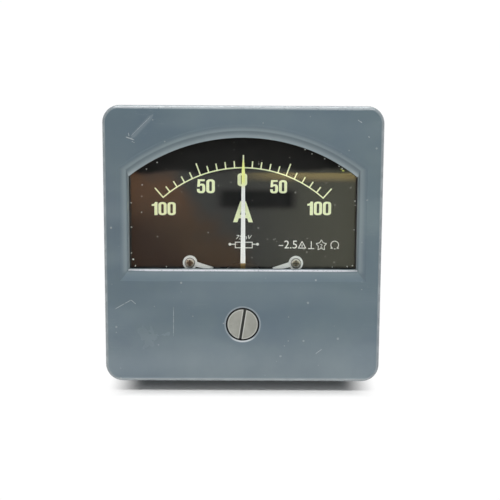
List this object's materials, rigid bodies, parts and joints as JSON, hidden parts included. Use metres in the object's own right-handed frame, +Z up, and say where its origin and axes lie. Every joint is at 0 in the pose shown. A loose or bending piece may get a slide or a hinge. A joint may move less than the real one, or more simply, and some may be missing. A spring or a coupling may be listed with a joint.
{
  "type": "analog panel meter",
  "caption": "Square flush panel meter with an arched glass window, centre-zero scale, moving-coil pointer and slotted zero adjuster; round rear barrel with stud terminals.",
  "frame": {"origin": "on the panel's front surface, at the centre of the square of panel studs and on the barrel's axis", "axes": "+Y into the panel along the barrel's axis, +X to the reader's right, +Z up"},
  "size_m": [0.08, 0.073, 0.08],
  "materials": {
    "cover_plastic": "blue-grey moulded plastic, semi-gloss",
    "housing_plastic": "black moulded plastic, satin",
    "adjuster_plastic": "warm grey moulded plastic",
    "window_glass": "clear flat glass",
    "black_rubber": "matt",
    "sheet_steel": "plated sheet",
    "plated_steel": "zinc plated",
    "dial_paint": "matt black on aluminium sheet",
    "luminous_ink": "pale yellow-green print",
    "pointer_paint": "matt white with a yellow-green tip",
    "brass": "turned and stamped",
    "aluminium": "sheet",
    "soft_iron": "plated ring",
    "magnet_alloy": "ground",
    "copper_wire": "enamelled copper wire",
    "staff_steel": "polished hardened steel",
    "spring_bronze": "bronze strip",
    "ruby": "polished synthetic ruby",
    "bobbin_ceramic": "unglazed",
    "resistance_wire": "enamelled resistance wire",
    "tinned_metal": "tinned copper sheet",
    "red_insulation": "flexible insulation",
    "white_insulation": "flexible insulation",
    "black_insulation": "flexible insulation"
  },
  "bodies": {
    "case": {"front_cover": "cover_plastic", "window_gasket": "black_rubber", "window_glass": "window_glass", "glass_retainer": "sheet_steel", "retainer_screws": "plated_steel", "adjuster_seal": "black_rubber", "adjuster_plate": "sheet_steel", "rear_housing": "housing_plastic", "panel_gasket": "black_rubber", "cover_screws": "plated_steel", "mounting_studs": "plated_steel", "dial_plate": "dial_paint", "scale_marks": "luminous_ink", "dial_screws": "brass", "pointer_stop_left": "sheet_steel", "pointer_stop_right": "sheet_steel", "movement_plate": "aluminium", "plate_screws": "plated_steel", "yoke_ring": "soft_iron", "core_magnet": "magnet_alloy", "core_holders": "brass", "front_bridge": "aluminium", "rear_bridge": "aluminium", "bridge_screws": "plated_steel", "movement_screws": "plated_steel", "front_jewel": "ruby", "rear_jewel": "ruby", "front_jewel_screw": "brass", "rear_jewel_screw": "brass", "jewel_nuts": "brass", "spring_anchor": "brass", "resistor_bobbin": "bobbin_ceramic", "resistor_winding": "resistance_wire", "resistor_screw": "plated_steel", "terminal_studs": "brass", "solder_lugs": "tinned_metal", "terminal_washers": "brass", "terminal_nuts": "brass", "lead_input": "red_insulation", "lead_series": "white_insulation", "lead_return": "black_insulation"},
    "moving_coil": {"pointer": "pointer_paint", "pointer_hub": "brass", "balance_weights": "brass", "coil_former": "aluminium", "coil_winding": "copper_wire", "front_staff": "staff_steel", "rear_staff": "staff_steel", "front_hairspring": "spring_bronze", "rear_hairspring": "spring_bronze"},
    "zero_adjuster": {"zero_adjuster": "adjuster_plastic"},
    "zero_lever": {"zero_lever": "brass"}
  },
  "joints": [
    {"name": "pointer_swing", "type": "hinge", "parent": "case", "child": "moving_coil", "pos_m": [0, -0.0069, -0.014], "axis": [0, 1, 0], "range_deg": [-49.5, 49.5], "stiffness_Nm_per_rad": 0.00006, "deforming": ["front_hairspring", "rear_hairspring"]},
    {"name": "zero_adjust", "type": "hinge", "parent": "case", "child": "zero_adjuster", "pos_m": [0, -0.0137, -0.02285], "axis": [0, 1, 0], "range_deg": [-45, 45]},
    {"name": "zero_shift", "type": "hinge", "parent": "case", "child": "zero_lever", "pos_m": [0, -0.01, -0.014], "axis": [0, 1, 0], "range_deg": [-7, 7]}
  ],
  "couplings": [
    {"joint": "zero_shift", "follows": "zero_adjust", "ratio": -0.14}
  ]
}
